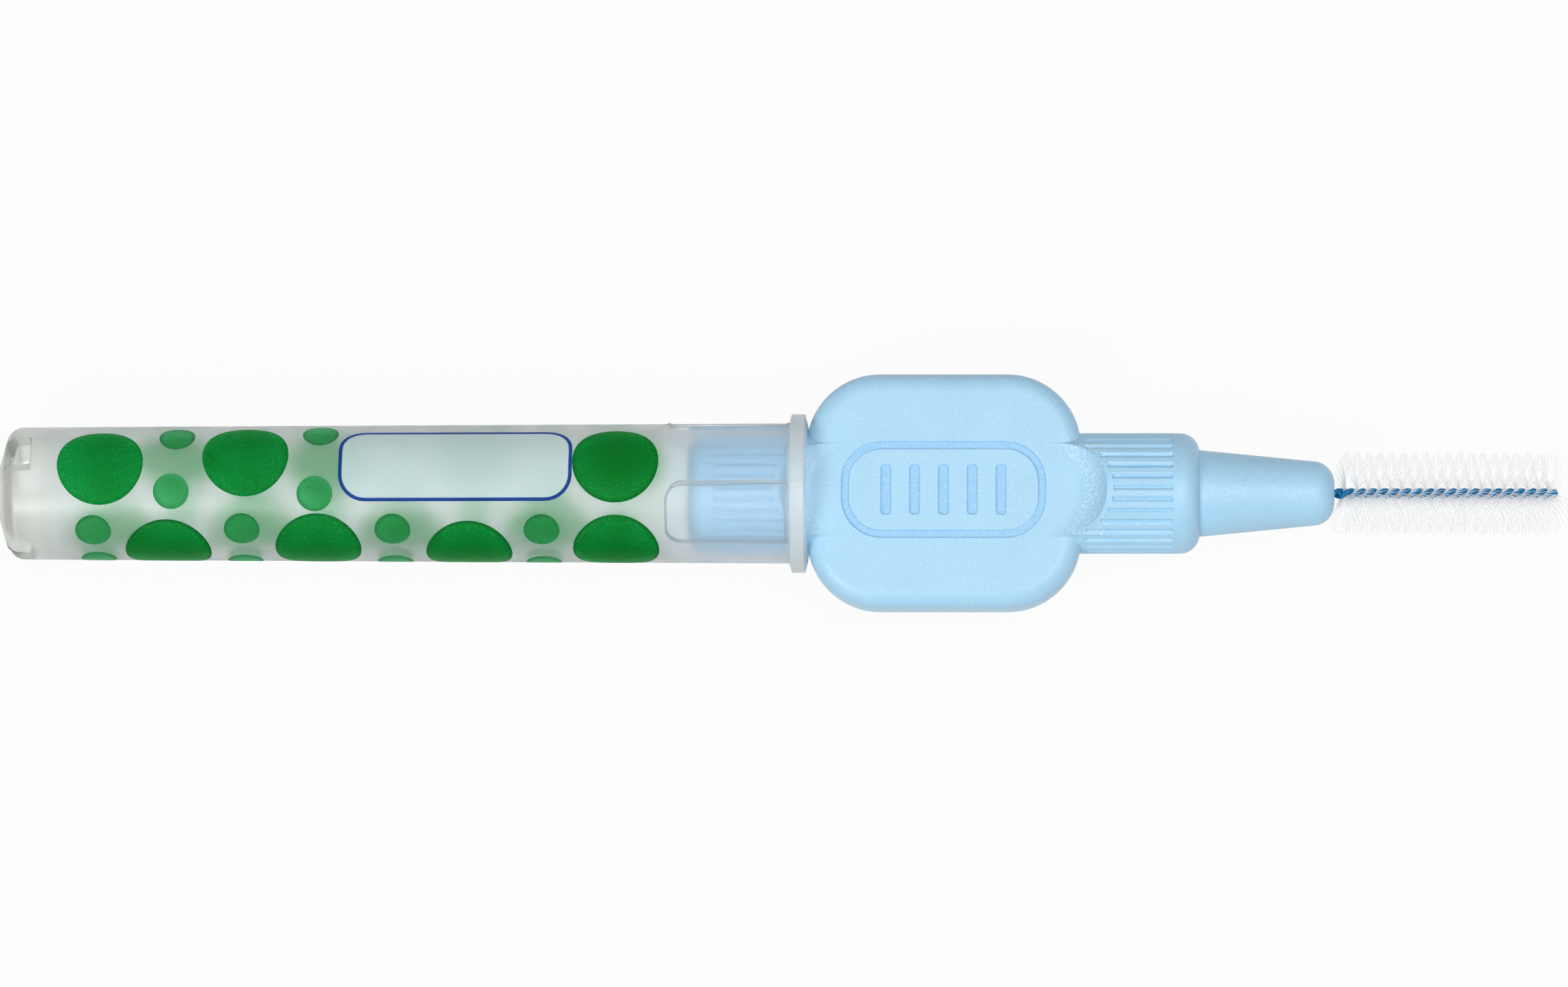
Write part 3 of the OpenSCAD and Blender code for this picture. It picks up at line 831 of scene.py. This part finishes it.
# Turn of each row about the cap in degrees. The wall is bare between the last row and the first.
PRINT_ROWS = ((66, PANEL_ROW), (152, DISC_ROW), (236, FAR_ROW), (312, DISC_ROW))


def motif(kind, look):
    """One flat motif of the print."""
    if kind == "discs":
        return flat_disc(look.disc_d, rings=7, segments=48)
    if kind == "dots":
        return flat_disc(look.dot_d, rings=3, segments=28)
    return flat_panel(look)


class INTERDENTAL_OT_print(Operator):
    """Prints discs, dots and bare rimmed panels on the cap"""
    bl_idname = "interdental.print"
    bl_label = "Cap print"

    def execute(self, context):
        look = context.scene.print_look
        wall = cap_wall()
        wholes = {kind: bmesh.new() for kind in PANEL_ROW}
        for row_turn, spots in PRINT_ROWS:
            for kind, places in spots.items():
                for along, about in places:
                    part = motif(kind, look)
                    turn = look.turn + radians(row_turn + about)
                    lay_on_cap(part, wall, cap_low.x + along * mm, turn, look.lift, look.ink)
                    add_to(wholes[kind], part)
        dark = ink_finish("dark_ink", look.dark, look.grains, pull=0.09, clear=0.96)
        light = ink_finish("light_ink", look.light, look.dark, pull=-0.05, clear=0.96)
        pale = ink_finish("pale_ink", look.pale, scaled(look.pale, 1.05), pull=0.0, clear=0.6)
        blue = ink_finish("blue_ink", look.blue, scaled(look.blue, 0.8), pull=0.0, clear=0.85)
        finishes = {"discs": (dark,), "dots": (light,), "panels": (pale, blue)}
        for kind, whole in wholes.items():
            piece = new_piece(f"print_{kind}", whole, *finishes[kind])
            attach(piece, "cap")
        return {"FINISHED"}


class INTERDENTAL_PT_sidebar(Panel):
    """Lists the brush's pieces in the sidebar"""
    bl_label = "Interdental Brush"
    bl_idname = "INTERDENTAL_PT_sidebar"
    bl_space_type = "VIEW_3D"
    bl_region_type = "UI"
    bl_category = "Brush"

    def draw(self, context):
        for kind in STEPS:
            self.layout.operator(kind.bl_idname)
        for name, group in GROUPS.items():
            box = self.layout.box()
            box.label(text=group.__name__)
            for key in group.__annotations__:
                box.prop(getattr(context.scene, name), key)


STEPS = (INTERDENTAL_OT_stage, INTERDENTAL_OT_handle, INTERDENTAL_OT_wire, INTERDENTAL_OT_bristles,
         INTERDENTAL_OT_cap, INTERDENTAL_OT_print)


def register():
    for kind in (*GROUPS.values(), *STEPS, INTERDENTAL_PT_sidebar):
        bpy.utils.register_class(kind)
    for name, group in GROUPS.items():
        setattr(bpy.types.Scene, name, PointerProperty(type=group))


def unregister():
    for name in GROUPS:
        delattr(bpy.types.Scene, name)
    for kind in reversed((*GROUPS.values(), *STEPS, INTERDENTAL_PT_sidebar)):
        bpy.utils.unregister_class(kind)


def main():
    register()
    bpy.ops.interdental.stage()
    bpy.ops.interdental.handle()
    bpy.ops.interdental.wire()
    bpy.ops.interdental.bristles()
    bpy.ops.interdental.cap()
    bpy.ops.interdental.print()


if __name__ == "__main__":
    main()
